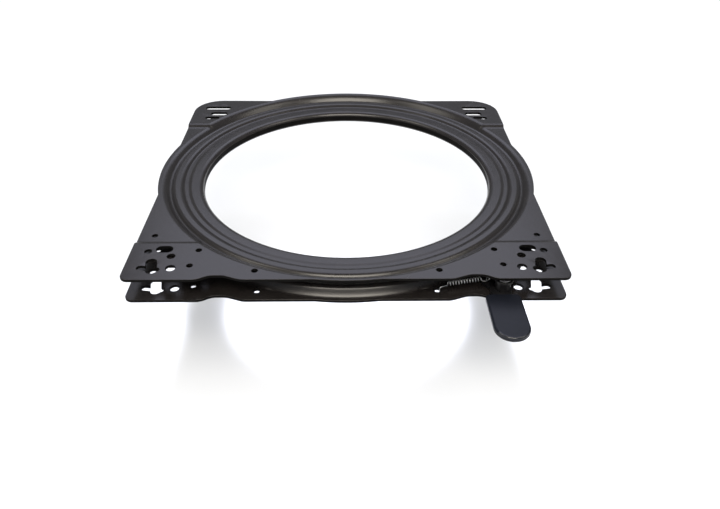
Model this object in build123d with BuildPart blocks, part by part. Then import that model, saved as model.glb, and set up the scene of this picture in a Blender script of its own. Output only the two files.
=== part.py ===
from build123d import *
import os
from math import atan2, cos, degrees, hypot, radians, sin, tan

# Driving dimensions, in millimetres and degrees. The origin is on the swivel axis, midway
# between the plates. +Z is up, the front with the lever is -Y, and +X is the right-hand side.

# Sheet and overall sizes; both plates come from one pressing, the lower one turned over
sheet = 3.0
overall_height = 28.0
plate_width = 430.0
front_reach = 221.8
rear_reach = 196.8
bore_radius = 172.0
front_corner = 8.0
rear_corner = 36.0
rim_land = 2.5
rim_blend = 7.0

# Joggles that lift the front and rear tabs above the sides
joggle = 3.3
joggle_angle = 30.0
joggle_bend = 6.0
front_joggle_at = 162.1
rear_joggle_at = 117.3

# Pressed ring: levels of its upper face, and the bead over the slide ring
wall_angle = 41.5
wall_foot_radius = 211.3
outer_valley_level = 5.0
inner_valley_level = 4.6
band_level = 5.3
band_outer_radius = 187.4
band_step_run = 2.6
bead_radius = 202.0
bead_crown_level = 7.8
bead_crown_width = 5.0
bead_angle = 40.0

# Rolled edge of the opening, which hooks the lower plate from below
roll_bevel = 3.0
hem_width = 9.5
hem_clearance = 0.3
edge_clearance = 0.6

# Slide ring
slide_clearance = 0.1
slide_ring_width = 8.0

# Scallops in the front edge, measured from the side edge inwards
scallop_start = 73.6
scallop_flat_start = 82.4
scallop_flat_end = 97.2
scallop_end = 113.8
scallop_depth = 6.5
scallop_round = 16.0

# Front holes of the right-hand half: distance from the side edge and the front edge, and diameter
bolt_hole = (45.2, 18.2, 9.0)
nut_hole = (41.8, 37.1, 7.9)
corner_hole = (17.5, 45.3, 7.0)
tooling_holes = [(67.2, 47.1, 5.8), (16.1, 77.3, 5.8)]
stop_hole = (62.8, 22.0, 5.8)
spring_hole = (126.3, 13.5, 5.8)

# Slots: distance from the side edge and the front or rear edge, overall length and width
cross_slot = (32.9, 48.9, 16.4, 10.4)
rear_slots = [(32.1, 26.5, 34.9, 9.0), (36.1, 45.9, 22.6, 9.0), (28.9, 59.8, 19.1, 7.0)]

# Crossed slot near the front corner: tips of a wide slot along the depth and a narrow one across it
wide_slot_tips = [(20.5, 32.7), (25.1, 9.7)]
wide_slot_width = 10.4
narrow_slot_tips = [(12.7, 19.1), (35.0, 15.1)]
narrow_slot_width = 6.4

# Lever pivot, measured from the same edges
pivot_inset = (62.8, 11.8)
pin_diameter = 10.0
pin_head_diameter = 14.0
pin_head_angle = 90.0
pin_clearance = 0.1
washer_diameter = 14.0
washer_thickness = 1.0
clip_thickness = 0.8
clip_diameter = 13.6
clip_groove_depth = 0.6
clip_opening = 7.0
pin_end = 0.5
sweep_clearance = 1.5

# Lever: places are measured from the pivot
blade_thickness = 3.0
blade_width = 20.0
blade_offset = -2.2
blade_eye_radius = 9.4
blade_length = 60.0
stop_eye_radius = 6.0
spring_eye_at = (-12.5, 10.8)
spring_eye_radius = 5.6
spring_eye_hole = 3.0
hub_diameter = 15.0
release_angle = 24.0
stop_clearance = 0.2

# Grip
grip_width = 34.0
grip_start = 11.5
grip_end = 73.5
grip_height = 5.7
grip_under_blade = 0.7
grip_rear_corner = 5.0
grip_edge = 1.4

# Latch: a finger on an arc about the pivot, and the keeper with a notch on the same arc
pawl_thickness = 3.0
pawl_eye_radius = 9.0
finger_radius = 31.2
finger_width = 8.0
finger_root = 52.0
finger_tip = 87.6
keeper_depth = 10.5
keeper_length = 29.9
keeper_overhang = 0.3
notch_middle = 83.0
notch_clearance = 0.4

# Return spring: the coil starts beside the plate's hole and ends beside the lever's spring eye
wire_diameter = 1.1
coil_diameter = 5.3
coil_turns = 11.5
coil_from_hole = (10.5, 3.5)
coil_from_eye = (-7.5, -1.7)
coil_lift = 5.2
coil_chords = 8
wire_sides = 4

# Working allowances: how far raw shapes run past the finished edge, and when points coincide
trim = 20.0
point_tolerance = 0.01

# Levels and radii that follow
tab_level = overall_height / 2
main_level = tab_level - joggle
tab_inner = tab_level - sheet
edge_radius = bore_radius + sheet + edge_clearance
hem_level = band_level + hem_clearance + sheet

lever_low = -tab_inner + washer_thickness
lever_top = lever_low + blade_thickness
pin_top = main_level - sheet - sweep_clearance
clip_low = pin_top - pin_end - clip_thickness
pawl_low = clip_low - pawl_thickness
hub_height = pawl_low - lever_top
keeper_low = pawl_low - keeper_overhang
coil_level = coil_lift - tab_inner


def wall_radius(level):
    """Radius of the ring wall's upper face at a level."""
    return wall_foot_radius + (level - outer_valley_level) / tan(radians(wall_angle))


def from_front(inset):
    """Place at a distance from the right-hand edge and the front edge."""
    return Vector(plate_width / 2 - inset[0], inset[1] - front_reach)


def from_rear(inset):
    """Place at a distance from the right-hand edge and the rear edge."""
    return Vector(plate_width / 2 - inset[0], rear_reach - inset[1])


rim_radius = wall_radius(tab_level) + rim_land
pivot = from_front(pivot_inset)
stop_at = from_front(stop_hole)
spring_hole_at = from_front(spring_hole)
spring_eye = pivot + Vector(spring_eye_at)
coil_from = spring_hole_at + Vector(coil_from_hole)
coil_to = spring_eye + Vector(coil_from_eye)


def joggle_line():
    """Upper face of the joggled sheet, seen from the side."""
    run = joggle / tan(radians(joggle_angle))
    outer_bend = joggle_bend + sheet
    return FilletPolyline(
        (-rim_radius - trim, tab_level),
        (-front_joggle_at, tab_level),
        (-front_joggle_at + run, main_level),
        (rear_joggle_at - run, main_level),
        (rear_joggle_at, tab_level),
        (rim_radius + trim, tab_level),
        radius=[outer_bend, joggle_bend, joggle_bend, outer_bend],
    )


def sheet_section():
    """Section of the joggled sheet, seen from the side."""
    with BuildSketch(Plane.YZ) as section:
        with BuildLine():
            joggle_line()
            offset(amount=sheet, side=Side.RIGHT, kind=Kind.INTERSECTION)
        make_face()
    return section.sketch


def above_sheet():
    """Space above the joggled sheet, seen from the side."""
    with BuildSketch(Plane.YZ) as space:
        with BuildLine():
            top = joggle_line()
            Polyline(
                top @ 1,
                (rim_radius + trim, tab_level + trim),
                (-rim_radius - trim, tab_level + trim),
                top @ 0,
            )
        make_face()
    return space.sketch


def ring_points():
    """Upper face of the pressed ring, from the flat band out to above the tabs."""
    half_crown = bead_crown_width / 2
    slope = tan(radians(bead_angle))
    inner_foot = bead_radius - half_crown - (bead_crown_level - inner_valley_level) / slope
    outer_foot = bead_radius + half_crown + (bead_crown_level - outer_valley_level) / slope
    above = tab_level + sheet
    return [
        (band_outer_radius, band_level),
        (band_outer_radius + band_step_run, inner_valley_level),
        (inner_foot, inner_valley_level),
        (bead_radius - half_crown, bead_crown_level),
        (bead_radius + half_crown, bead_crown_level),
        (outer_foot, outer_valley_level),
        (wall_foot_radius, outer_valley_level),
        (wall_radius(above), above),
    ]


def plan_outline():
    """Outline of both plates in plan, with the round rim and the scalloped front edge."""
    with BuildSketch() as outline:
        with Locations((0, (rear_reach - front_reach) / 2)):
            Rectangle(plate_width, front_reach + rear_reach)
        fillet(outline.vertices().group_by(Axis.Y)[0], front_corner)
        fillet(outline.vertices().group_by(Axis.Y)[-1], rear_corner)
        Circle(rim_radius)
        on_rim = outline.vertices().filter_by(
            lambda v: abs(hypot(v.X, v.Y) - rim_radius) < point_tolerance
        )
        fillet(on_rim, rim_blend)
        scallop = [
            from_front((scallop_start, 0)),
            from_front((scallop_flat_start, scallop_depth)),
            from_front((scallop_flat_end, scallop_depth)),
            from_front((scallop_end, 0)),
        ]
        with BuildSketch(mode=Mode.SUBTRACT):
            with BuildLine():
                Polyline(*scallop, close=True)
            make_face()
            mirror(about=Plane.YZ)
        scallop_corners = outline.vertices().filter_by(
            lambda v: any((Vector(abs(v.X), v.Y) - corner).length < point_tolerance for corner in scallop)
        )
        fillet(scallop_corners, scallop_round)
    return outline.sketch


def slot_between(tips, width):
    """Round-ended slot between two tips that are measured from the side and front edges."""
    start, end = [from_front(tip) for tip in tips]
    way = end - start
    with Locations((start + end) / 2):
        SlotOverall(way.length, width, rotation=degrees(atan2(way.Y, way.X)))


def hole_pattern():
    """Bolt holes and slots of both plates, the same on the left and the right."""
    with BuildSketch() as holes:
        for hole in [bolt_hole, nut_hole, corner_hole, stop_hole, spring_hole, *tooling_holes]:
            with Locations(from_front(hole)):
                Circle(hole[2] / 2)
        with Locations(from_front(cross_slot)):
            SlotOverall(*cross_slot[2:])
        for slot in rear_slots:
            with Locations(from_rear(slot)):
                SlotOverall(*slot[2:])
        slot_between(wide_slot_tips, wide_slot_width)
        slot_between(narrow_slot_tips, narrow_slot_width)
        mirror(about=Plane.YZ)
    return holes.sketch


def pressing(inner_line):
    """Pressed plate with its mounting face up; the inner line leads to the ring's flat band."""
    above = tab_level + sheet
    below = main_level - 2 * sheet
    with BuildPart() as plate:
        extrude(sheet_section(), amount=plate_width, both=True)
        with BuildSketch(Plane.XZ):
            Polygon(
                (0, below),
                (wall_radius(below), below),
                (wall_radius(above), above),
                (0, above),
                align=None,
            )
        revolve(axis=Axis.Z, mode=Mode.SUBTRACT)
        with BuildSketch(Plane.XZ):
            with BuildLine():
                Polyline(*inner_line, *ring_points())
                offset(amount=sheet, side=Side.RIGHT, kind=Kind.INTERSECTION)
            make_face()
        revolve(axis=Axis.Z)
        extrude(above_sheet(), amount=plate_width, both=True, mode=Mode.SUBTRACT)
        extrude(plan_outline(), amount=overall_height, both=True, mode=Mode.INTERSECT)
        extrude(hole_pattern(), amount=overall_height, both=True, mode=Mode.SUBTRACT)
    return plate.part


def at_pivot(level):
    """Horizontal plane on the lever's pivot axis."""
    return Plane(origin=(pivot.X, pivot.Y, level))


def round_tipped(start, end, width):
    """Strip that runs forward beside the pivot, square at its start and round at its tip."""
    tip_centre = end - width / 2
    with Locations((blade_offset, -(start + tip_centre) / 2)):
        Rectangle(width, tip_centre - start)
    with Locations((blade_offset, -tip_centre)):
        Circle(width / 2)


def blade_outline():
    """Lever blade in plan, without its holes, round its eye, stop slot and spring eye."""
    with BuildSketch() as eyes:
        Circle(blade_eye_radius)
        with Locations(stop_at - pivot):
            Circle(stop_eye_radius)
        with Locations(spring_eye_at):
            Circle(spring_eye_radius)
        make_hull()
    with BuildSketch() as outline:
        add(eyes.sketch)
        round_tipped(0, blade_length, blade_width)
    return outline.sketch


def finger_line(start):
    """Centre line of the latch finger, an arc about the pivot that ends short of the tip."""
    end_round = degrees(finger_width / 2 / finger_radius)
    return Edge.make_circle(finger_radius, start_angle=start, end_angle=finger_tip - end_round)


def coil_point(turn):
    """Point of the spring's wire after a number of turns, from the coil's lowest point on."""
    way = (coil_to - coil_from) / coil_turns
    down = Vector(0, 0, -1)
    across = way.normalized().cross(down)
    radius = (coil_diameter - wire_diameter) / 2
    angle = radians(360 * turn)
    middle = coil_from + way * turn + Vector(0, 0, coil_level)
    return middle + (down * cos(angle) + across * sin(angle)) * radius


with BuildPart() as upper_plate:
    hem_end = bore_radius + hem_width
    add(
        pressing(
            [
                (hem_end, -hem_level),
                (bore_radius, -hem_level),
                (bore_radius, band_level - roll_bevel),
                (bore_radius + roll_bevel, band_level),
            ]
        )
    )

with BuildPart() as lower_plate:
    add(pressing([(edge_radius, band_level)]))
    mirror(about=Plane.XY, mode=Mode.REPLACE)
    with Locations(Location((pivot.X, pivot.Y, -tab_level), (180, 0, 0))):
        CounterSinkHole(
            pin_diameter / 2,
            pin_head_diameter / 2,
            depth=sheet,
            counter_sink_angle=pin_head_angle,
        )

with BuildPart() as bearing_ring:
    half_flat = bead_crown_width / 2 - sheet * tan(radians(bead_angle / 2))
    half_width = slide_ring_width / 2
    half_height = bead_crown_level - sheet - slide_clearance
    flank_end = half_height - (half_width - half_flat) * tan(radians(bead_angle))
    with BuildSketch(Plane.XZ):
        with BuildLine():
            Polyline(
                (bead_radius + half_flat, half_height),
                (bead_radius + half_width, flank_end),
                (bead_radius + half_width, -flank_end),
                (bead_radius + half_flat, -half_height),
                (bead_radius - half_flat, -half_height),
                (bead_radius - half_width, -flank_end),
                (bead_radius - half_width, flank_end),
                (bead_radius - half_flat, half_height),
                close=True,
            )
        make_face()
    revolve(axis=Axis.Z)

with BuildPart() as lock_keeper:
    keeper_middle = pivot + Vector(finger_radius, 0).rotate(Axis.Z, notch_middle)
    keeper_radius = keeper_middle.length
    keeper_arc = degrees(keeper_length / keeper_radius)
    keeper_start = degrees(atan2(keeper_middle.Y, keeper_middle.X)) - keeper_arc / 2
    keeper_height = tab_level - keeper_low
    with BuildSketch(Plane.XZ.rotated((0, 0, keeper_start))):
        with Locations((keeper_radius, keeper_low + keeper_height / 2)):
            Rectangle(keeper_depth, keeper_height)
    revolve(axis=Axis.Z, revolution_arc=keeper_arc)
    with BuildSketch(at_pivot(keeper_low)):
        SlotArc(finger_line(0), finger_width + 2 * notch_clearance)
    extrude(amount=keeper_height, mode=Mode.SUBTRACT)
    extrude(sheet_section(), amount=plate_width, both=True, mode=Mode.SUBTRACT)
    extrude(above_sheet(), amount=plate_width, both=True, mode=Mode.SUBTRACT)

with BuildPart() as latch_pawl:
    finger_root_at = Vector(finger_radius, 0).rotate(Axis.Z, finger_root)
    with BuildSketch(at_pivot(pawl_low)):
        with BuildSketch():
            Circle(pawl_eye_radius)
            with Locations(finger_root_at):
                Circle(finger_width / 2)
            make_hull()
        SlotArc(finger_line(finger_root), finger_width)
        Circle(pin_diameter / 2 + pin_clearance, mode=Mode.SUBTRACT)
    extrude(amount=pawl_thickness)

with BuildPart() as lever_hub:
    with BuildSketch(at_pivot(lever_top)):
        Circle(hub_diameter / 2)
        Circle(pin_diameter / 2 + pin_clearance, mode=Mode.SUBTRACT)
    extrude(amount=hub_height)

with BuildPart() as release_lever:
    stop_arm = stop_at - pivot
    stop_angle = degrees(atan2(stop_arm.Y, stop_arm.X))
    stop_line = Edge.make_circle(
        stop_arm.length, start_angle=stop_angle, end_angle=stop_angle + release_angle
    )
    with BuildSketch(at_pivot(lever_low)):
        add(blade_outline())
        Circle(pin_diameter / 2 + pin_clearance, mode=Mode.SUBTRACT)
        SlotArc(stop_line, stop_hole[2] + 2 * stop_clearance, mode=Mode.SUBTRACT)
        with Locations(spring_eye_at):
            Circle(spring_eye_hole / 2, mode=Mode.SUBTRACT)
    extrude(amount=blade_thickness)

with BuildPart() as lever_grip:
    grip_low = lever_low - grip_under_blade
    with BuildSketch(at_pivot(grip_low)) as grip_outline:
        round_tipped(grip_start, grip_end, grip_width)
        fillet(grip_outline.vertices().group_by(Axis.Y)[-1], grip_rear_corner)
    extrude(amount=grip_height)
    chamfer(lever_grip.faces().filter_by(Axis.Z).edges(), grip_edge)
    with BuildSketch(at_pivot(lever_low)):
        add(blade_outline())
    extrude(amount=blade_thickness, mode=Mode.SUBTRACT)

with BuildPart() as pivot_pin:
    pin_radius = pin_diameter / 2
    head_radius = pin_head_diameter / 2
    head_depth = (head_radius - pin_radius) / tan(radians(pin_head_angle / 2))
    groove_radius = pin_radius - clip_groove_depth
    clip_top = clip_low + clip_thickness
    with BuildSketch(Plane(origin=pivot, z_dir=(0, -1, 0), x_dir=(1, 0, 0))):
        with BuildLine():
            Polyline(
                (0, -tab_level),
                (head_radius, -tab_level),
                (pin_radius, -tab_level + head_depth),
                (pin_radius, clip_low),
                (groove_radius, clip_low),
                (groove_radius, clip_top),
                (pin_radius, clip_top),
                (pin_radius, pin_top),
                (0, pin_top),
                close=True,
            )
        make_face()
    revolve(axis=Axis(pivot, (0, 0, 1)))

with BuildPart() as pin_clip:
    with BuildSketch(at_pivot(clip_low)):
        Circle(clip_diameter / 2)
        Circle(groove_radius, mode=Mode.SUBTRACT)
        with Locations((clip_diameter / 2, 0)):
            Rectangle(clip_diameter, clip_opening, mode=Mode.SUBTRACT)
    extrude(amount=clip_thickness)

with BuildPart() as lever_washer:
    with BuildSketch(at_pivot(-tab_inner)):
        Circle(washer_diameter / 2)
        Circle(pin_diameter / 2 + pin_clearance, mode=Mode.SUBTRACT)
    extrude(amount=washer_thickness)

with BuildPart() as stop_pin:
    with BuildSketch(Plane.XY.offset(-tab_level)):
        with Locations(stop_at):
            Circle(stop_hole[2] / 2)
    extrude(amount=tab_level + lever_top - stop_clearance)

with BuildPart() as return_spring:
    pull = (coil_to - coil_from).normalized()
    plate_leg = spring_hole_at + pull * (spring_hole[2] - wire_diameter) / 2
    lever_leg = spring_eye - pull * (spring_eye_hole - wire_diameter) / 2
    coil_low = coil_point(0).Z
    coil_high = coil_point(coil_turns).Z
    chords = int(coil_turns * coil_chords)
    with BuildLine() as wire_line:
        Polyline(
            (plate_leg.X, plate_leg.Y, -tab_level),
            (plate_leg.X, plate_leg.Y, coil_low),
            *[coil_point(i / coil_chords) for i in range(chords + 1)],
            (lever_leg.X, lever_leg.Y, coil_high),
            (lever_leg.X, lever_leg.Y, lever_low),
        )
    with BuildSketch(Plane(origin=wire_line.line @ 0, z_dir=wire_line.line % 0)):
        RegularPolygon(wire_diameter / 2, wire_sides)
    sweep(path=wire_line.line, transition=Transition.RIGHT)

os.makedirs("parts", exist_ok=True)
nodes = {
    "upper_plate": upper_plate,
    "lower_plate": lower_plate,
    "bearing_ring": bearing_ring,
    "lock_keeper": lock_keeper,
    "latch_pawl": latch_pawl,
    "lever_hub": lever_hub,
    "release_lever": release_lever,
    "lever_grip": lever_grip,
    "pivot_pin": pivot_pin,
    "pin_clip": pin_clip,
    "lever_washer": lever_washer,
    "stop_pin": stop_pin,
    "return_spring": return_spring,
}
for name, node in nodes.items():
    node.part.label = name
    export_step(node.part, f"parts/{name}.step")
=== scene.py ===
from math import atan2, cos, degrees, hypot, pi, radians, sin, sqrt, tan

import bmesh
import bpy
from mathutils import Matrix, Vector


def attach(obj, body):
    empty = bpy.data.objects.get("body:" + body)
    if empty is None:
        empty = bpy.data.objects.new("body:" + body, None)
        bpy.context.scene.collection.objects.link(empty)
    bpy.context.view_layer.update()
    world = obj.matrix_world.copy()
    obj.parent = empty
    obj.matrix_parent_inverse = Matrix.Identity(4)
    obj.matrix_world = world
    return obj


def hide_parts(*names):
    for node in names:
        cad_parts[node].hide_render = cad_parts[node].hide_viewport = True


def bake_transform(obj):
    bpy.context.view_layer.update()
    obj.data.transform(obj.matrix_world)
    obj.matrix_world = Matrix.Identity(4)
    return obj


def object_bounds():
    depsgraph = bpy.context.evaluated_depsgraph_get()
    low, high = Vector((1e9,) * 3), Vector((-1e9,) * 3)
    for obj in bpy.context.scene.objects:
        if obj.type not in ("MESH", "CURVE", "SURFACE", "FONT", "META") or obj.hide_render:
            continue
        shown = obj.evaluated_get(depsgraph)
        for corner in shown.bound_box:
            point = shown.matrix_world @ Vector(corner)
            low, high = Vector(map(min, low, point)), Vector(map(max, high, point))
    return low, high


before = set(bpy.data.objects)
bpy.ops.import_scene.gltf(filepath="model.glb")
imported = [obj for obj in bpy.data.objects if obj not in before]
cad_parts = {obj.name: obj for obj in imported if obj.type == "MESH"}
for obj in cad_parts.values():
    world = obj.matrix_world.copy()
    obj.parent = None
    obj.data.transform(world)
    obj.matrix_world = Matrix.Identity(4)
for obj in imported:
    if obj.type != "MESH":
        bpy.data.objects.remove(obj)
cad_low, cad_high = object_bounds()

# Sizes in millimetres, in the frame of the CAD parts; pieces are scaled to metres when finished
MM = 0.001
SHEET = 3.0
TAB_LEVEL = 14.0
JOGGLE = 3.3
MAIN_LEVEL = TAB_LEVEL - JOGGLE
HALF_WIDTH = 215.0
FRONT_REACH = 221.8
REAR_REACH = 196.8
FRONT_CORNER = 8.0
REAR_CORNER = 36.0
EDGE_ROUND = 0.4
EDGE_SEGMENTS = 2
PART_EDGE_SEGMENTS = 3
MERGE = 0.001
FINE_MERGE = 0.0001
SHARP_SHEET = radians(50)
SHARP_PART = radians(35)
FLAT_ENOUGH = radians(1)

# Joggles that lift the tabs above the sides
JOGGLE_SLOPE = tan(radians(45.0))
FRONT_JOGGLE_AT = 160.8
REAR_JOGGLE_AT = 116.0
JOGGLE_BLEND = 2.2
JOGGLE_CUTS = 11
JOGGLE_SPAN = 9.0

# Pressed ring, levels of its mounting side
BORE_RADIUS = 172.0
BAND_LEVEL = 5.3
BAND_OUTER = 186.5
BAND_STEP = 3.2
INNER_VALLEY = 4.5
OUTER_VALLEY = 5.0
BEAD_RADIUS = 202.1
BEAD_CROWN = 7.8
BEAD_CROWN_WIDTH = 8.2
BEAD_INNER_SLOPE = tan(radians(42.0))
BEAD_OUTER_SLOPE = tan(radians(46.0))
WALL_FOOT = 211.8
WALL_SLOPE = tan(radians(55.0))
WALL_BLEND = 6.0
RIM_LAND = 5.85
RIM_RADIUS = WALL_FOOT + (TAB_LEVEL - OUTER_VALLEY) / WALL_SLOPE + RIM_LAND
RIM_START = 213.8
RIM_RINGS = 18
RIM_SLACK = 0.01
FACE_SLACK = 0.1
SPIN_STEPS = 360
CORNER_SEGMENTS = 8

# Bends of the ring's section
BORE_BEND = 6.4
# Faces inside this margin past the bore take the dull edge coat, whose dark tone is painted shade
DULL_SHADED_EDGE = 0.2
HEM_BEND = 4.0
STEP_BEND = 6.0
BEAD_FOOT_BEND = 2.3
BEAD_BEND = 5.0
WALL_FOOT_BEND = 3.6
BEND_SEGMENTS = 6

# Rolled edge of the upper plate and plain edge of the lower plate
HEM_WIDTH = 9.5
HEM_LEVEL = 8.6
LOWER_EDGE = 175.6

# Scallops in the front edge
SCALLOP = [(141.4, 0.0), (132.6, 6.5), (117.8, 6.5), (101.2, 0.0)]
SCALLOP_BEND = 16.0

# Holes of the right-hand half: x, y and diameter
ROUND_HOLES = [
    (197.5, -176.5, 7.0),
    (169.8, -203.6, 9.0),
    (173.2, -184.7, 7.9),
    (147.8, -174.7, 5.8),
    (198.9, -144.5, 5.8),
    (152.2, -199.8, 5.8),
    (88.7, -208.3, 5.8),
]
# Slots of the right-hand half: x and y of both tips, and width
CROSS_SLOT = ((173.9, -172.9), (190.3, -172.9), 10.4)
REAR_SLOTS = [
    ((165.45, 170.3), (200.35, 170.3), 9.0),
    ((167.6, 150.9), (190.2, 150.9), 9.0),
    ((176.55, 137.0), (195.65, 137.0), 7.0),
]
WIDE_SLOT = ((191.3, -189.1), (186.4, -212.1), 10.4)
NARROW_SLOT = ((202.3, -202.7), (180.0, -206.7), 6.4)
CUT_HEIGHT = 60.0
FLARE = 0.3
HOLE_SEGMENTS = 48

# Lever pivot and grip
PIVOT = Vector((152.2, -210.0, 0.0))
PIN_HOLE_RADIUS = 5.1
COUNTERSINK_RADIUS = 7.1
GRIP_OFFSET = -2.2
GRIP_WIDTH = 34.0
GRIP_START = 11.5
GRIP_END = 73.5
GRIP_LOW = -10.7
GRIP_HEIGHT = 5.7
GRIP_REAR_CORNER = 5.0
GRIP_ROUND = 1.8
GRIP_ROUND_SEGMENTS = 5
GRIP_TIP_STEPS = 24
LEVEL_SLACK = 1e-6

# Return spring
WIRE = 1.1
COIL = 5.3
COIL_TURNS = 11.75
COIL_FROM = Vector((99.2, -204.8, -5.8))
COIL_TO = Vector((132.2, -199.4, -4.3))
COIL_STEPS = 16
WIRE_RESOLUTION = 3
PLATE_HOOK = Vector((90.9, -208.0, 0.0))
# Bend of the plate hook, by heights above the coil's lowest point, and where its straight run ends
PLATE_HOOK_BEND = [(0.0, 0.0, -2.2), (0.3, 0.0, -0.3), (2.2, 0.6, 0.0)]
PLATE_HOOK_RUN = 0.7
LEVER_HOOK = [
    (134.4, -201.4, -5.6),
    (137.0, -201.4, -5.8),
    (139.6, -200.6, -5.4),
    (141.2, -198.6, -4.6),
    (140.4, -196.6, -4.6),
    (138.4, -196.7, -5.2),
    (138.2, -198.6, -6.0),
    (139.1, -199.2, -7.2),
    (139.2, -199.2, -10.0),
]

# Photograph: image size, and the view worked out from the outline and the holes
IMAGE_WIDTH = 720
FOCAL_PIXELS = 641.74
CAMERA_AT = Vector((0.35, -694.45, 392.16))
CAMERA_PITCH = radians(36.469)
CAMERA_YAW = radians(-1.39)
CAMERA_ROLL = radians(0.618)
SENSOR = 36.0
NEAR_LIMIT = 0.01

# Order of the finishes on a plate and on the grip
PLATE_FACE, PLATE_EDGE = 0, 1
GRIP_RIM, GRIP_TIP = 1, 2

# Finishes: dark and light tones, gloss as roughness, and noise scales per metre
PLATE_TONES = (0.0125, 0.0108, 0.0105), (0.0165, 0.0145, 0.014)
# Edge tones: painted shade, far darker than the plate coat, for the cut edges, the hole walls and the
# bore wall
EDGE_SHADE_TONES = (0.003, 0.0028, 0.0026), (0.005, 0.0046, 0.0042)
LEVER_TONES = (0.006, 0.006, 0.007), (0.009, 0.009, 0.010)
GRIP_TONES = (0.0055, 0.0068, 0.011), (0.008, 0.0095, 0.015)
ZINC_TONES = (0.80, 0.80, 0.81), (0.90, 0.90, 0.91)
SLIDE_TONES = (0.62, 0.60, 0.55), (0.70, 0.68, 0.62)
TONE_STOPS = 0.3, 0.7
PLATE_GLOSS = 0.26
EDGE_GLOSS = 0.5
LEVER_GLOSS = 0.38
ZINC_GLOSS = 0.3, 0.42
SLIDE_GLOSS = 0.38, 0.5
PLATE_IOR = 1.45
EDGE_IOR = 1.12
LEVER_IOR = 1.4
GRIP_FINISHES = [("moulded_grip", 0.4, 1.3), ("dull_rim", 0.5, 1.2), ("polished_tip", 0.24, 1.5)]
GLOSS_SPREAD = 0.03
RELIEF_DETAIL = 2.0
RELIEF_DEPTH = 0.0002
COAT_CLOUD = 60.0
COAT_PEEL = 1400.0
COAT_PEEL_STRENGTH = 0.08
GRIP_CLOUD = 90.0
GRIP_GRAIN = 2200.0
GRIP_GRAIN_STRENGTH = 0.06
ZINC_MARKS = 700.0
SLIDE_CLOUD = 40.0

# Floor, in metres, and its mirror image: shares from front to back, fading out beside the part
FLOOR_SIZE = 30
FLOOR_DROP = 0.09
FLOOR_TONE = (0.28, 0.28, 0.28)
FLOOR_GLOW = (0.95, 0.97, 1.0)
FLOOR_GLOW_STRENGTH = 0.7
MIRROR_FRONT = -0.29
MIRROR_BACK = 0.03
MIRROR_SHARES = [(0.0, 0.0), (0.5, 0.42), (0.58, 0.42), (1.0, 0.08)]
MIRROR_SIDE = 0.27
MIRROR_SIDE_FADE = 0.12
MIRROR_TINT = (0.97, 0.98, 1.0)
MIRROR_ROUGHNESS = 0.22

# Lights: side angle from the front, elevation, distance, width, height, radiance and colour
WHITE_WALL = ("white_wall", 180, 36, 5.0, 10.0, 7.0, 1.0, (1.0, 1.0, 1.0))
SOFT_BOXES = [
    ("front_box", 0, 54, 2.4, 1.5, 0.74, 11.0, (1.0, 0.93, 0.82)),
    ("low_front_box", 0, 40, 2.4, 1.6, 0.72, 3.4, (1.0, 0.93, 0.82)),
    ("left_box", -73, 50, 2.2, 0.8, 1.0, 3.8, (1.0, 0.94, 0.84)),
    ("right_box", 73, 50, 2.2, 0.8, 1.0, 3.8, (1.0, 0.94, 0.84)),
    ("back_box", 180, 56, 2.6, 2.2, 2.2, 1.9, (0.86, 0.88, 1.07)),
]
# Room light by height: 0 is the horizon and 1 is straight up
ROOM_STOPS = [
    (0.0, (0.22, 0.22, 0.23)),
    (0.31, (0.22, 0.23, 0.25)),
    (0.50, (0.32, 0.34, 0.37)),
    (0.70, (0.30, 0.31, 0.33)),
    (1.0, (0.30, 0.30, 0.30)),
]


def soft_min(a, b, blend):
    """The lower of two heights, with a rounded change from one to the other."""
    near = max(blend - abs(a - b), 0) / blend
    return min(a, b) - near * near * blend / 4


def soft_max(a, b, blend):
    """The higher of two heights, with a rounded change from one to the other."""
    return -soft_min(-a, -b, blend)


def wall_height(radius):
    """Height of the ring's outer wall at a radius."""
    return OUTER_VALLEY + (radius - WALL_FOOT) * WALL_SLOPE


def sheet_height(y):
    """Height of the joggled sheet: high tabs at the front and the rear, lower sides between."""
    front_ramp = TAB_LEVEL - (y + FRONT_JOGGLE_AT) * JOGGLE_SLOPE
    rear_ramp = TAB_LEVEL + (y - REAR_JOGGLE_AT) * JOGGLE_SLOPE
    front = soft_min(TAB_LEVEL, front_ramp, JOGGLE_BLEND)
    rear = soft_min(TAB_LEVEL, rear_ramp, JOGGLE_BLEND)
    return soft_max(MAIN_LEVEL, max(front, rear), JOGGLE_BLEND)


def plate_height(x, y):
    """Height of the plate's mounting side outside the ring's foot."""
    return soft_min(sheet_height(y), wall_height(hypot(x, y)), WALL_BLEND)


def wire(bm, points):
    """Chain of edges through points."""
    verts = [bm.verts.new(p) for p in points]
    for a, b in zip(verts, verts[1:]):
        bm.edges.new((a, b))
    return verts


def round_corner(bm, vert, bend, segments=BEND_SEGMENTS):
    """Rounds a corner of a chain of edges to a bend radius."""
    a, b = [edge.other_vert(vert).co - vert.co for edge in vert.link_edges]
    turn = pi - a.angle(b)
    bmesh.ops.bevel(
        bm,
        geom=[vert],
        offset=bend * tan(turn / 2),
        offset_type="OFFSET",
        segments=segments,
        profile=0.5,
        affect="VERTICES",
        material=-1,
    )


def round_edges(bm, edges, radius, segments, clamp=False):
    """Rounds edges of a mesh, and gives the new faces."""
    return bmesh.ops.bevel(
        bm,
        geom=edges,
        offset=radius,
        offset_type="OFFSET",
        segments=segments,
        profile=0.5,
        affect="EDGES",
        clamp_overlap=clamp,
        material=-1,
    )["faces"]


def full_turn(bm, steps):
    """Spins a section into a closed ring about the vertical axis."""
    bmesh.ops.spin(
        bm,
        geom=[*bm.verts, *bm.edges],
        cent=(0, 0, 0),
        axis=(0, 0, 1),
        angle=2 * pi,
        steps=steps,
        use_merge=True,
    )
    bmesh.ops.remove_doubles(bm, verts=bm.verts, dist=FINE_MERGE)


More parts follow.
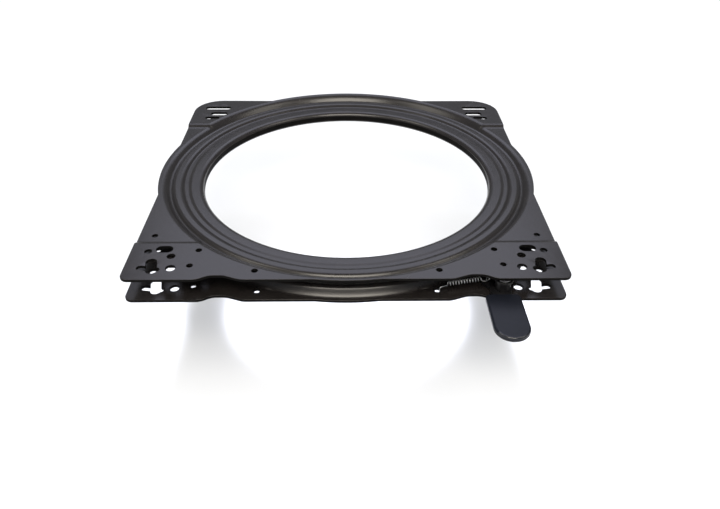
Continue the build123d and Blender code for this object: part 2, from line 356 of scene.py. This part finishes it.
def turn_about_z(bm, verts, angle):
    """Turns vertices about the vertical axis."""
    bmesh.ops.rotate(bm, verts=verts, cent=(0, 0, 0), matrix=Matrix.Rotation(angle, 3, "Z"))


def outside(bm, radius):
    """Faces that lie wholly outside a radius, with their edges and vertices."""
    faces = [f for f in bm.faces if min(hypot(v.co.x, v.co.y) for v in f.verts) > radius]
    edges = {e for f in faces for e in f.edges}
    verts = {v for f in faces for v in f.verts}
    return [*faces, *edges, *verts]


def piece_from(bm, name, scale=MM):
    """New object from a mesh, scaled to metres."""
    bmesh.ops.scale(bm, vec=(scale, scale, scale), verts=bm.verts)
    mesh = bpy.data.meshes.new(name)
    bm.to_mesh(mesh)
    bm.free()
    piece = bpy.data.objects.new(name, mesh)
    bpy.context.scene.collection.objects.link(piece)
    return piece


def apply_modifiers(piece):
    """Bakes a piece's modifiers into its mesh."""
    depsgraph = bpy.context.evaluated_depsgraph_get()
    mesh = bpy.data.meshes.new_from_object(piece.evaluated_get(depsgraph))
    piece.modifiers.clear()
    old = piece.data
    piece.data = mesh
    bpy.data.meshes.remove(old)
    mesh.name = piece.name


def shade(piece):
    """Smooth shading in which large faces keep their own direction."""
    piece.data.polygons.foreach_set("use_smooth", [True] * len(piece.data.polygons))
    piece.modifiers.new("flats", "WEIGHTED_NORMAL")
    apply_modifiers(piece)


# Plates


def ring_section(bm, inner):
    """Section of the pressed ring with its bends, from the inner edge out to the rim."""
    half_crown = BEAD_CROWN_WIDTH / 2
    inner_foot = BEAD_RADIUS - half_crown - (BEAD_CROWN - INNER_VALLEY) / BEAD_INNER_SLOPE
    outer_foot = BEAD_RADIUS + half_crown + (BEAD_CROWN - OUTER_VALLEY) / BEAD_OUTER_SLOPE
    corners = [
        *inner,
        ((BAND_OUTER, BAND_LEVEL), STEP_BEND),
        ((BAND_OUTER + BAND_STEP, INNER_VALLEY), STEP_BEND),
        ((inner_foot, INNER_VALLEY), BEAD_FOOT_BEND),
        ((BEAD_RADIUS - half_crown, BEAD_CROWN), BEAD_BEND),
        ((BEAD_RADIUS + half_crown, BEAD_CROWN), BEAD_BEND),
        ((outer_foot, OUTER_VALLEY), BEAD_FOOT_BEND),
        ((WALL_FOOT, OUTER_VALLEY), WALL_FOOT_BEND),
    ]
    rim_step = (RIM_RADIUS - RIM_START) / RIM_RINGS
    rim = [RIM_START + rim_step * i for i in range(RIM_RINGS + 1)]
    points = [(r, 0, z) for (r, z), _ in corners] + [(r, 0, wall_height(r)) for r in rim]
    verts = wire(bm, points)
    for vert, (_, bend) in zip(verts, corners):
        if bend:
            round_corner(bm, vert, bend)


def outer_loop(bm):
    """Vertices of the rim, by their angle."""
    rim = [v for v in bm.verts if hypot(v.co.x, v.co.y) > RIM_RADIUS - RIM_SLACK]
    return sorted(rim, key=lambda v: atan2(v.co.y, v.co.x))


def fill_corner(bm, start, end, outline, bends):
    """Fills the sheet between the rim and an outline that runs from one rim angle to another."""
    rim = outer_loop(bm)

    def nearest(angle):
        return min(rim, key=lambda v: abs(atan2(v.co.y, v.co.x) - radians(angle)))

    first, last = nearest(start), nearest(end)
    arc = rim[rim.index(first):rim.index(last) + 1]
    edges = {bm.edges.get((a, b)) for a, b in zip(arc, arc[1:])}
    verts = [first, *[bm.verts.new((x, y, TAB_LEVEL)) for x, y in outline], last]
    before = set(bm.edges)
    for a, b in zip(verts, verts[1:]):
        bm.edges.new((a, b))
    for vert, bend in zip(verts[1:-1], bends):
        if bend:
            round_corner(bm, vert, bend, CORNER_SEGMENTS)
    edges |= set(bm.edges) - before
    bmesh.ops.triangle_fill(bm, use_beauty=True, edges=list(edges), normal=(0, 0, 1))


def right_corners(bm):
    """Front and rear corners of the right-hand half."""
    front_side = degrees(atan2(-sqrt(RIM_RADIUS**2 - HALF_WIDTH**2), HALF_WIDTH))
    front_middle = degrees(atan2(-FRONT_REACH, sqrt(RIM_RADIUS**2 - FRONT_REACH**2)))
    scallop = [(x, depth - FRONT_REACH) for x, depth in reversed(SCALLOP)]
    fill_corner(
        bm,
        front_middle,
        front_side,
        [*scallop, (HALF_WIDTH, -FRONT_REACH)],
        [SCALLOP_BEND] * len(scallop) + [FRONT_CORNER],
    )
    rear_middle = degrees(atan2(REAR_REACH, sqrt(RIM_RADIUS**2 - REAR_REACH**2)))
    fill_corner(bm, -front_side, rear_middle, [(HALF_WIDTH, REAR_REACH)], [REAR_CORNER])


def cut_joggles(bm):
    """Cuts the sheet along the joggles' bend lines, so that it can bend there."""
    for at, way in ((-FRONT_JOGGLE_AT, 1), (REAR_JOGGLE_AT, -1)):
        middle = at + way * JOGGLE / JOGGLE_SLOPE / 2
        for i in range(JOGGLE_CUTS):
            y = middle + JOGGLE_SPAN * (i / (JOGGLE_CUTS - 1) - 0.5)
            bmesh.ops.bisect_plane(
                bm,
                geom=outside(bm, RIM_START - FACE_SLACK),
                dist=FINE_MERGE,
                plane_co=(0, y, 0),
                plane_no=(0, 1, 0),
            )


def plate(name, inner, below):
    """Pressed plate as a sheet with its bends and its outline, given its thickness; make_plates cuts
    its holes and rounds its edges.
    """
    bm = bmesh.new()
    ring_section(bm, inner)
    full_turn(bm, SPIN_STEPS)
    right_corners(bm)
    bmesh.ops.mirror(bm, geom=outside(bm, RIM_RADIUS - FACE_SLACK), axis="X", merge_dist=-1)
    bmesh.ops.remove_doubles(bm, verts=bm.verts, dist=MERGE)
    cut_joggles(bm)
    for vert in bm.verts:
        if hypot(vert.co.x, vert.co.y) > RIM_START - RIM_SLACK:
            vert.co.z = plate_height(vert.co.x, vert.co.y)
    bmesh.ops.recalc_face_normals(bm, faces=bm.faces)
    rim_face = max(bm.faces, key=lambda f: f.calc_center_median().length)
    if rim_face.normal.z < 0:
        bmesh.ops.reverse_faces(bm, faces=bm.faces)
    if below:
        bmesh.ops.scale(bm, vec=(1, 1, -1), verts=bm.verts)
        bmesh.ops.reverse_faces(bm, faces=bm.faces)
    # The bore wall takes the dull edge coat, darkened as painted shade
    for face in bm.faces:
        middle = face.calc_center_median()
        if hypot(middle.x, middle.y) < BORE_RADIUS + DULL_SHADED_EDGE:
            face.material_index = PLATE_EDGE
    piece = piece_from(bm, name)
    piece.data.materials.append(plate_coat())
    piece.data.materials.append(dull_shaded_edge_coat())
    solid = piece.modifiers.new("sheet", "SOLIDIFY")
    solid.thickness = SHEET * MM
    solid.offset = -1
    solid.use_even_offset = True
    # The sheet's cut edges take the dull edge coat, darkened as painted shade
    solid.material_offset_rim = PLATE_EDGE
    return piece


def hole_stack(radius, level):
    """Radii and heights of a cutter that breaks a hole's edges on both sides of both sheets."""
    wide = radius + EDGE_ROUND + FLARE
    through = []
    for outer, inner in ((-level, SHEET - level), (level - SHEET, level)):
        through += [
            (wide, outer - FLARE),
            (radius, outer + EDGE_ROUND),
            (radius, inner - EDGE_ROUND),
            (wide, inner + FLARE),
        ]
    return [(wide, -CUT_HEIGHT / 2), *through, (wide, CUT_HEIGHT / 2)]


def cutter(name, cuts):
    """Solids for holes and slots, on both sides of the plate, that flare at the sheet's faces."""
    bm = bmesh.new()
    for start, end, width in cuts:
        start, end = Vector(start), Vector(end)
        middle = (start + end) / 2
        half_run = max((end - start).length - width, 0) / 2
        level = sheet_height(middle.y)
        (radius, height), *stack = hole_stack(width / 2, level)
        circle = bmesh.ops.create_circle(bm, cap_ends=True, segments=HOLE_SEGMENTS, radius=radius)
        made = circle["verts"]
        bottom = face = next(iter(set.intersection(*[set(v.link_faces) for v in made])))
        turn_about_z(bm, made, pi / HOLE_SEGMENTS)
        for side in (-1, 1):
            half = [v for v in made if v.co.x * side > 0]
            bmesh.ops.translate(bm, verts=half, vec=(side * half_run, 0, height))
        for next_radius, next_height in stack:
            raised = bmesh.ops.extrude_face_region(bm, geom=[face])["geom"]
            if face != bottom:
                bmesh.ops.delete(bm, geom=[face], context="FACES_ONLY")
            face = next(part for part in raised if isinstance(part, bmesh.types.BMFace))
            grow = next_radius / radius
            for side in (-1, 1):
                half = [v for v in face.verts if v.co.x * side > 0]
                centre = Matrix.Translation((-side * half_run, 0, 0))
                bmesh.ops.scale(bm, vec=(grow, grow, 1), space=centre, verts=half)
            bmesh.ops.translate(bm, verts=face.verts, vec=(0, 0, next_height - height))
            made += face.verts
            radius, height = next_radius, next_height
        turn_about_z(bm, made, atan2(end.y - start.y, end.x - start.x))
        bmesh.ops.translate(bm, verts=made, vec=(middle.x, middle.y, 0))
    bmesh.ops.mirror(bm, geom=[*bm.verts, *bm.edges, *bm.faces], axis="X", merge_dist=-1)
    bmesh.ops.recalc_face_normals(bm, faces=bm.faces)
    piece = piece_from(bm, name)
    # Hole walls take the dull edge coat, darkened as painted shade
    piece.data.materials.append(dull_shaded_edge_coat())
    return piece


def countersink():
    """Cutter for the pin's countersunk hole in the lower plate."""
    bm = bmesh.new()
    below = CUT_HEIGHT / 2
    depth = COUNTERSINK_RADIUS - PIN_HOLE_RADIUS
    profile = [
        (0, -below),
        (COUNTERSINK_RADIUS + below - TAB_LEVEL, -below),
        (PIN_HOLE_RADIUS, depth - TAB_LEVEL),
        (PIN_HOLE_RADIUS, 0),
        (0, 0),
    ]
    wire(bm, [(r, 0, z) for r, z in profile])
    full_turn(bm, HOLE_SEGMENTS)
    bmesh.ops.recalc_face_normals(bm, faces=bm.faces)
    bmesh.ops.translate(bm, verts=bm.verts, vec=PIVOT)
    piece = piece_from(bm, "pin_cutter")
    # The pin hole's walls take the dull edge coat, darkened as painted shade
    piece.data.materials.append(dull_shaded_edge_coat())
    return piece


def combine(piece, tool, operation):
    """Cuts or joins a piece with another solid."""
    cut = piece.modifiers.new("cut", "BOOLEAN")
    cut.object = tool
    cut.operation = operation
    cut.solver = "EXACT"
    cut.material_mode = "TRANSFER"


def break_outline(piece):
    """Breaks the edges of the sheet's outline, and leaves the creases of the pressing."""
    bm = bmesh.new()
    bm.from_mesh(piece.data)
    bmesh.ops.remove_doubles(bm, verts=bm.verts, dist=MERGE * MM)
    both = {PLATE_FACE, PLATE_EDGE}
    borders = [e for e in bm.edges if {f.material_index for f in e.link_faces} == both]
    corners = [e for e in borders if e.calc_face_angle() > SHARP_SHEET]
    round_edges(bm, corners, EDGE_ROUND * MM, EDGE_SEGMENTS)
    bm.to_mesh(piece.data)
    bm.free()


def make_plates():
    """Upper plate with its rolled edge, and lower plate turned over below it."""
    hole_tips = [((x, y), (x, y), diameter) for x, y, diameter in ROUND_HOLES]
    holes = cutter("hole_cutter", [*hole_tips, CROSS_SLOT, *REAR_SLOTS])
    crossed = cutter("crossed_cutter", [WIDE_SLOT])
    narrow = cutter("narrow_cutter", [NARROW_SLOT])
    pin_hole = countersink()
    combine(crossed, narrow, "UNION")
    apply_modifiers(crossed)
    upper = plate(
        "turntable_plate",
        [
            ((BORE_RADIUS + HEM_WIDTH, -HEM_LEVEL), 0),
            ((BORE_RADIUS, -HEM_LEVEL), HEM_BEND),
            ((BORE_RADIUS, BAND_LEVEL), BORE_BEND),
        ],
        below=False,
    )
    lower = plate("base_plate", [((LOWER_EDGE, BAND_LEVEL), 0)], below=True)
    for piece, body, node in ((upper, "turntable", "upper_plate"), (lower, "base", "lower_plate")):
        apply_modifiers(piece)
        break_outline(piece)
        combine(piece, holes, "DIFFERENCE")
        combine(piece, crossed, "DIFFERENCE")
        if piece == lower:
            combine(piece, pin_hole, "DIFFERENCE")
        apply_modifiers(piece)
        shade(piece)
        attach(piece, body)
        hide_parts(node)
    for tool in (holes, crossed, narrow, pin_hole):
        bpy.data.objects.remove(tool)


# Lever and spring


def make_grip():
    """Moulded grip with a round tip and rolled edges."""
    bm = bmesh.new()
    half = GRIP_WIDTH / 2
    tip_centre = -(GRIP_END - half)
    outline = [(half, tip_centre), (half, -GRIP_START), (-half, -GRIP_START), (-half, tip_centre)]
    verts = wire(bm, [(x, y, 0) for x, y in outline])
    round_corner(bm, verts[1], GRIP_REAR_CORNER)
    round_corner(bm, verts[2], GRIP_REAR_CORNER)
    bmesh.ops.spin(
        bm,
        geom=[verts[3]],
        cent=(0, tip_centre, 0),
        axis=(0, 0, 1),
        angle=pi,
        steps=GRIP_TIP_STEPS,
    )
    bmesh.ops.remove_doubles(bm, verts=bm.verts, dist=MERGE)
    face = bmesh.ops.contextual_create(bm, geom=bm.edges)["faces"][0]
    raised = bmesh.ops.extrude_face_region(bm, geom=[face])
    top = [v for v in raised["geom"] if isinstance(v, bmesh.types.BMVert)]
    bmesh.ops.translate(bm, verts=top, vec=(0, 0, GRIP_HEIGHT))
    bmesh.ops.recalc_face_normals(bm, faces=bm.faces)
    rims = [e for e in bm.edges if abs(e.verts[0].co.z - e.verts[1].co.z) < LEVEL_SLACK]
    for face in round_edges(bm, rims, GRIP_ROUND, GRIP_ROUND_SEGMENTS):
        at_tip = face.calc_center_median().y < tip_centre - half / 2
        face.material_index = GRIP_TIP if at_tip else GRIP_RIM
    bmesh.ops.translate(bm, verts=bm.verts, vec=PIVOT + Vector((GRIP_OFFSET, 0, GRIP_LOW)))
    piece = piece_from(bm, "handle_grip")
    shade(piece)
    for finish in GRIP_FINISHES:
        piece.data.materials.append(grip_plastic(*finish))
    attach(piece, "lever")
    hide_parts("lever_grip")


def spring_wire():
    """Extension spring of round wire, with a hook down into the plate and one into the lever."""
    way = COIL_TO - COIL_FROM
    down = Vector((0, 0, -1))
    across = way.normalized().cross(down)
    radius = (COIL - WIRE) / 2
    coil = []
    for i in range(int(COIL_TURNS * COIL_STEPS) + 1):
        turn = i / COIL_STEPS
        angle = 2 * pi * turn
        middle = COIL_FROM + way * (turn / COIL_TURNS)
        coil.append(middle + (down * cos(angle) + across * sin(angle)) * radius)
    low = COIL_FROM.z - radius
    start = Vector((coil[0].x, coil[0].y, 0))
    rise = Vector((0, 0, low))
    plate_end = [
        PLATE_HOOK + Vector((0, 0, -TAB_LEVEL)),
        *[PLATE_HOOK + Vector(bend) + rise for bend in PLATE_HOOK_BEND],
        PLATE_HOOK.lerp(start, PLATE_HOOK_RUN) + rise,
    ]
    curve = bpy.data.curves.new("spring_wire", "CURVE")
    curve.dimensions = "3D"
    curve.bevel_depth = WIRE / 2 * MM
    curve.bevel_resolution = WIRE_RESOLUTION
    curve.use_fill_caps = True
    spline = curve.splines.new("NURBS")
    points = [*plate_end, *coil, *[Vector(p) for p in LEVER_HOOK]]
    spline.points.add(len(points) - 1)
    for point, place in zip(spline.points, points):
        point.co = (*(place * MM), 1)
    spline.order_u = 3
    spline.use_endpoint_u = True
    spline.resolution_u = WIRE_RESOLUTION
    piece = bpy.data.objects.new("tension_spring", curve)
    bpy.context.scene.collection.objects.link(piece)
    return piece


def make_spring():
    """Spring as a mesh that stretches between the lower plate and the lever."""
    drawn = spring_wire()
    depsgraph = bpy.context.evaluated_depsgraph_get()
    mesh = bpy.data.meshes.new_from_object(drawn.evaluated_get(depsgraph))
    bpy.data.objects.remove(drawn)
    piece = bpy.data.objects.new("tension_spring", mesh)
    bpy.context.scene.collection.objects.link(piece)
    bm = bmesh.new()
    bm.from_mesh(mesh)
    bmesh.ops.remove_doubles(bm, verts=bm.verts, dist=MERGE * MM)
    bm.to_mesh(mesh)
    bm.free()
    mesh.materials.clear()
    mesh.materials.append(bright_zinc())
    mesh.polygons.foreach_set("use_smooth", [True] * len(mesh.polygons))
    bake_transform(piece)
    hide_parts("return_spring")


def soften(name, node, body, finish, edge):
    """Copy of a turned or cut part with its edges broken, by a size in millimetres."""
    bm = bmesh.new()
    bm.from_mesh(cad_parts[node].data)
    bmesh.ops.remove_doubles(bm, verts=bm.verts, dist=MERGE * MM)
    bmesh.ops.dissolve_limit(bm, angle_limit=FLAT_ENOUGH, verts=bm.verts, edges=bm.edges)
    inner_edges = [e for e in bm.edges if len(e.link_faces) == 2]
    corners = [e for e in inner_edges if e.calc_face_angle() > SHARP_PART]
    round_edges(bm, corners, edge * MM, PART_EDGE_SEGMENTS, clamp=True)
    piece = piece_from(bm, name, 1)
    shade(piece)
    piece.data.materials.clear()
    piece.data.materials.append(finish)
    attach(piece, body)
    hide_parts(node)


def make_small_parts():
    """Lever, latch and pin with broken edges."""
    soften("lever_blade", "release_lever", "lever", lever_coat(), 0.35)
    soften("pivot_tube", "lever_hub", "lever", lever_coat(), 0.4)
    soften("locking_finger", "latch_pawl", "lever", lever_coat(), 0.4)
    soften("notched_keeper", "lock_keeper", "turntable", plate_coat(), 0.4)
    soften("hinge_pin", "pivot_pin", "base", bright_zinc(), 0.25)
    soften("spring_clip", "pin_clip", "base", bright_zinc(), 0.15)
    soften("thrust_washer", "lever_washer", "base", bright_zinc(), 0.2)
    soften("travel_stop", "stop_pin", "base", bright_zinc(), 0.4)


# Materials


def new_material(name):
    """Material with an empty Principled surface: the material, its nodes, its links and the shader."""
    material = bpy.data.materials.new(name)
    material.use_nodes = True
    nodes = material.node_tree.nodes
    links = material.node_tree.links
    return material, nodes, links, nodes["Principled BSDF"]


def noise(nodes, links, scale, detail=3.0):
    """Noise on the piece's own coordinates."""
    coords = nodes.new("ShaderNodeTexCoord")
    texture = nodes.new("ShaderNodeTexNoise")
    texture.inputs["Scale"].default_value = scale
    texture.inputs["Detail"].default_value = detail
    links.new(coords.outputs["Object"], texture.inputs["Vector"])
    return texture.outputs["Fac"]


def ranged(nodes, links, value, low, high):
    """Maps a 0 to 1 value onto a range."""
    mapped = nodes.new("ShaderNodeMapRange")
    mapped.inputs["To Min"].default_value = low
    mapped.inputs["To Max"].default_value = high
    links.new(value, mapped.inputs["Value"])
    return mapped.outputs["Result"]


def bumped(nodes, links, shader, height, strength, distance):
    """Fine relief."""
    bump = nodes.new("ShaderNodeBump")
    bump.inputs["Strength"].default_value = strength
    bump.inputs["Distance"].default_value = distance
    links.new(height, bump.inputs["Height"])
    links.new(bump.outputs["Normal"], shader.inputs["Normal"])


def colour_ramp(nodes, stops):
    """Colour ramp with a colour at each place."""
    ramp = nodes.new("ShaderNodeValToRGB")
    elements = ramp.color_ramp.elements
    for i, (at, colour) in enumerate(stops):
        stop = elements[i] if i < 2 else elements.new(at)
        stop.position = at
        stop.color = (*colour, 1)
    return ramp


def clouded(name, scale, tones, low, high):
    """Material whose tone and gloss vary together in soft clouds."""
    material, nodes, links, shader = new_material(name)
    cloud = noise(nodes, links, scale)
    ramp = colour_ramp(nodes, zip(TONE_STOPS, tones))
    links.new(cloud, ramp.inputs["Fac"])
    links.new(ramp.outputs["Color"], shader.inputs["Base Color"])
    links.new(ranged(nodes, links, cloud, low, high), shader.inputs["Roughness"])
    return material, nodes, links, shader


def coat(name, tones, gloss, ior):
    """Satin powder coat: fine orange peel, slightly uneven gloss."""
    if name in bpy.data.materials:
        return bpy.data.materials[name]
    low, high = gloss - GLOSS_SPREAD, gloss + GLOSS_SPREAD
    material, nodes, links, shader = clouded(name, COAT_CLOUD, tones, low, high)
    shader.inputs["IOR"].default_value = ior
    peel = noise(nodes, links, COAT_PEEL, RELIEF_DETAIL)
    bumped(nodes, links, shader, peel, COAT_PEEL_STRENGTH, RELIEF_DEPTH)
    return material


def plate_coat():
    """Charcoal coat of both plates."""
    return coat("charcoal_coat", PLATE_TONES, PLATE_GLOSS, PLATE_IOR)


def dull_shaded_edge_coat():
    """Dull coat of the cut edges, the hole walls and the rolled edge; its tones, far darker than the
    plate's, are painted shade.
    """
    return coat("dull_edge_coat_painted_shade", EDGE_SHADE_TONES, EDGE_GLOSS, EDGE_IOR)


def lever_coat():
    """Black coat of the lever's steel parts."""
    return coat("black_coat", LEVER_TONES, LEVER_GLOSS, LEVER_IOR)


def grip_plastic(name, gloss, ior):
    """Blue-black moulded plastic with a fine grain."""
    low, high = gloss - GLOSS_SPREAD, gloss + GLOSS_SPREAD
    material, nodes, links, shader = clouded(name, GRIP_CLOUD, GRIP_TONES, low, high)
    shader.inputs["IOR"].default_value = ior
    grain = noise(nodes, links, GRIP_GRAIN, RELIEF_DETAIL)
    bumped(nodes, links, shader, grain, GRIP_GRAIN_STRENGTH, RELIEF_DEPTH)
    return material


def bright_zinc():
    """Bright zinc plating with fine drawing marks."""
    if "bright_zinc" in bpy.data.materials:
        return bpy.data.materials["bright_zinc"]
    material, *_, shader = clouded("bright_zinc", ZINC_MARKS, ZINC_TONES, *ZINC_GLOSS)
    shader.inputs["Metallic"].default_value = 1.0
    return material


def slide_plastic():
    """Natural slide plastic of the bearing ring."""
    return clouded("slide_plastic", SLIDE_CLOUD, SLIDE_TONES, *SLIDE_GLOSS)[0]


def dress_slide_ring():
    """Gives the slide ring, which stays as it is, its finish."""
    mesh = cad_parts["bearing_ring"].data
    mesh.materials.clear()
    mesh.materials.append(slide_plastic())


# Stage


def floor_finish():
    """White floor that mirrors the part faintly, most under its front half."""
    material, nodes, links, shader = new_material("white_floor")
    shader.inputs["Base Color"].default_value = (*FLOOR_TONE, 1)
    shader.inputs["Emission Color"].default_value = (*FLOOR_GLOW, 1)
    shader.inputs["Emission Strength"].default_value = FLOOR_GLOW_STRENGTH
    shader.inputs["Roughness"].default_value = 1.0
    shader.inputs["Specular IOR Level"].default_value = 0.0
    coords = nodes.new("ShaderNodeTexCoord")
    split = nodes.new("ShaderNodeSeparateXYZ")
    span = nodes.new("ShaderNodeMapRange")
    span.inputs["From Min"].default_value = MIRROR_FRONT
    span.inputs["From Max"].default_value = MIRROR_BACK
    fade = colour_ramp(nodes, [(at, (level, level, level)) for at, level in MIRROR_SHARES])
    fade.color_ramp.interpolation = "EASE"
    beside = nodes.new("ShaderNodeMath")
    beside.operation = "ABSOLUTE"
    side_fade = nodes.new("ShaderNodeMapRange")
    side_fade.interpolation_type = "SMOOTHSTEP"
    side_fade.inputs["From Min"].default_value = MIRROR_SIDE
    side_fade.inputs["From Max"].default_value = MIRROR_SIDE + MIRROR_SIDE_FADE
    side_fade.inputs["To Min"].default_value = 1.0
    side_fade.inputs["To Max"].default_value = 0.0
    share = nodes.new("ShaderNodeMath")
    share.operation = "MULTIPLY"
    gloss = nodes.new("ShaderNodeBsdfGlossy")
    gloss.inputs["Color"].default_value = (*MIRROR_TINT, 1)
    gloss.inputs["Roughness"].default_value = MIRROR_ROUGHNESS
    mix = nodes.new("ShaderNodeMixShader")
    links.new(coords.outputs["Object"], split.inputs["Vector"])
    links.new(split.outputs["Y"], span.inputs["Value"])
    links.new(span.outputs["Result"], fade.inputs["Fac"])
    links.new(split.outputs["X"], beside.inputs[0])
    links.new(beside.outputs["Value"], side_fade.inputs["Value"])
    links.new(fade.outputs["Color"], share.inputs[0])
    links.new(side_fade.outputs["Result"], share.inputs[1])
    links.new(share.outputs["Value"], mix.inputs["Fac"])
    links.new(shader.outputs["BSDF"], mix.inputs[1])
    links.new(gloss.outputs["BSDF"], mix.inputs[2])
    links.new(mix.outputs["Shader"], nodes["Material Output"].inputs["Surface"])
    return material


def make_floor():
    """Plain white floor a little below the part, with a white wall of light for its mirror image."""
    bm = bmesh.new()
    bmesh.ops.create_grid(bm, x_segments=1, y_segments=1, size=FLOOR_SIZE)
    bmesh.ops.translate(bm, verts=bm.verts, vec=(0, 0, cad_low.z - FLOOR_DROP))
    mesh = bpy.data.meshes.new("floor")
    bm.to_mesh(mesh)
    bm.free()
    floor = bpy.data.objects.new("floor", mesh)
    bpy.context.scene.collection.objects.link(floor)
    mesh.materials.append(floor_finish())
    lit = bpy.data.collections.new("lit_by_white_wall")
    lit.objects.link(floor)
    soft_box(*WHITE_WALL).light_linking.receiver_collection = lit


def soft_box(name, side, elevation, distance, width, height, radiance, colour):
    """Soft rectangular light that faces the part: side is its angle from the front, to the right."""
    side, elevation = radians(side), radians(elevation)
    way = Vector((sin(side) * cos(elevation), -cos(side) * cos(elevation), sin(elevation)))
    place = way * distance
    lamp = bpy.data.lights.new(name, "AREA")
    lamp.shape = "RECTANGLE"
    lamp.size = width
    lamp.size_y = height
    lamp.energy = radiance * pi * width * height
    lamp.color = colour
    light = bpy.data.objects.new(name, lamp)
    aim = (-place).to_track_quat("-Z", "Y").to_matrix().to_4x4()
    light.matrix_world = Matrix.Translation(place) @ aim
    light.visible_camera = False
    bpy.context.scene.collection.objects.link(light)
    return light


def make_lights():
    """Warm soft boxes in front and at both sides, a cool one behind, and a dim room."""
    for box in SOFT_BOXES:
        soft_box(*box)
    world = bpy.data.worlds.new("studio")
    bpy.context.scene.world = world
    world.use_nodes = True
    nodes = world.node_tree.nodes
    links = world.node_tree.links
    coords = nodes.new("ShaderNodeTexCoord")
    split = nodes.new("ShaderNodeSeparateXYZ")
    ramp = colour_ramp(nodes, ROOM_STOPS)
    links.new(coords.outputs["Generated"], split.inputs["Vector"])
    links.new(split.outputs["Z"], ramp.inputs["Fac"])
    links.new(ramp.outputs["Color"], nodes["Background"].inputs["Color"])


def make_camera():
    """Camera at the photograph's place."""
    turn = Matrix.Rotation(CAMERA_YAW, 3, "Z")
    right = turn @ Vector((1, 0, 0))
    forward = turn @ Vector((0, cos(CAMERA_PITCH), -sin(CAMERA_PITCH)))
    up = turn @ Vector((0, sin(CAMERA_PITCH), cos(CAMERA_PITCH)))
    rolled_right = right * cos(CAMERA_ROLL) + up * sin(CAMERA_ROLL)
    rolled_up = up * cos(CAMERA_ROLL) - right * sin(CAMERA_ROLL)
    lens = bpy.data.cameras.new("camera")
    lens.sensor_width = SENSOR
    lens.lens = FOCAL_PIXELS * SENSOR / IMAGE_WIDTH
    lens.clip_start = NEAR_LIMIT
    camera = bpy.data.objects.new("camera", lens)
    turned = Matrix((rolled_right, rolled_up, -forward)).transposed().to_4x4()
    camera.matrix_world = Matrix.Translation(CAMERA_AT * MM) @ turned
    bpy.context.scene.collection.objects.link(camera)
    bpy.context.scene.camera = camera


make_plates()
make_grip()
make_spring()
make_small_parts()
dress_slide_ring()
make_floor()
make_lights()
make_camera()
bpy.context.scene.view_settings.view_transform = "Standard"
